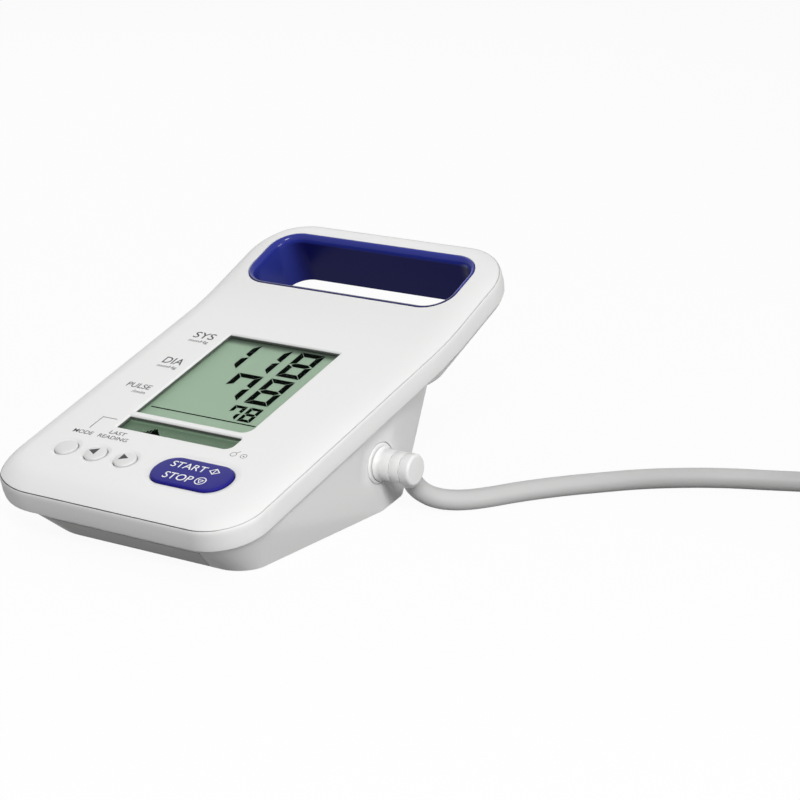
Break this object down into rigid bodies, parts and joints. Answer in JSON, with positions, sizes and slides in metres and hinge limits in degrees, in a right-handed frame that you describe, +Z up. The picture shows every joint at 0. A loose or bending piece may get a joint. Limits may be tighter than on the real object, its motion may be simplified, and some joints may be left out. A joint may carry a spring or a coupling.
{
  "type": "desktop blood pressure monitor",
  "caption": "Desktop blood pressure monitor: sloping panel with display and keys, carry handle, battery cover, and an air hose on a pull-off plug.",
  "frame": {"origin": "middle of the monitor's base, on the table; the hose and its coil are left out of this", "axes": "+X to the monitor's right, where the air socket is, +Y from the front edge to the handle, +Z up"},
  "size_m": [0.3675, 0.2513, 0.0857],
  "materials": {
    "shell": "fine satin, warm white",
    "case": "fine satin, warm white",
    "liner": "glossy deep blue",
    "lens": "clear",
    "lcd": "grey-green",
    "inner_grey": "plain",
    "backlight": "plain",
    "keys": "satin",
    "start_key": "semi-gloss blue",
    "dark_plastic": "plain",
    "board": "lacquered",
    "steel": "bright",
    "cover": "fine satin, warm white",
    "cells": "sleeved",
    "lead": "plain",
    "feet": "matt",
    "hose_grey": "satin",
    "tube": "matt",
    "hose": "soft matt, light grey",
    "tie": "woven"
  },
  "bodies": {
    "monitor": {"front_panel": "shell", "rear_case": "case", "handle_liner": "liner", "display_lens": "lens", "lcd_cell": "lcd", "lcd_holder": "inner_grey", "backlight": "backlight", "key_switches": "dark_plastic", "main_board": "board", "board_screws": "steel", "battery_pack": "cells", "battery_lead": "lead", "feet": "feet", "case_screws": "steel", "air_socket": "hose_grey", "socket_nut": "steel", "inner_tube": "tube", "pump_motor": "steel", "pump_head": "dark_plastic", "pump_rings": "feet", "release_valve": "dark_plastic", "pressure_sensor": "dark_plastic", "beeper": "dark_plastic", "power_jack": "dark_plastic"},
    "mode_key": {"mode_key": "keys"},
    "back_key": {"back_key": "keys"},
    "forward_key": {"forward_key": "keys"},
    "start_stop_key": {"start_stop_key": "start_key"},
    "battery_cover": {"battery_cover": "cover"},
    "air_hose": {"air_plug": "hose_grey", "hose": "hose", "hose_coil": "hose", "hose_tie": "tie", "cuff_plug": "hose_grey"}
  },
  "joints": [
    {"name": "mode_press", "type": "slide", "parent": "monitor", "child": "mode_key", "axis": [0, 0.2823, -0.9593], "range_m": [0, 0.0012], "stiffness_N_per_m": 400},
    {"name": "back_press", "type": "slide", "parent": "monitor", "child": "back_key", "axis": [0, 0.2823, -0.9593], "range_m": [0, 0.0012], "stiffness_N_per_m": 400},
    {"name": "forward_press", "type": "slide", "parent": "monitor", "child": "forward_key", "axis": [0, 0.2823, -0.9593], "range_m": [0, 0.0012], "stiffness_N_per_m": 400},
    {"name": "start_stop_press", "type": "slide", "parent": "monitor", "child": "start_stop_key", "axis": [0, 0.2823, -0.9593], "range_m": [0, 0.0012], "stiffness_N_per_m": 400},
    {"name": "cover_slide", "type": "slide", "parent": "monitor", "child": "battery_cover", "axis": [0, -1, 0], "range_m": [0, 0.03]},
    {"name": "plug_pull", "type": "slide", "parent": "monitor", "child": "air_hose", "axis": [1, 0, 0], "range_m": [0, 0.02]}
  ]
}
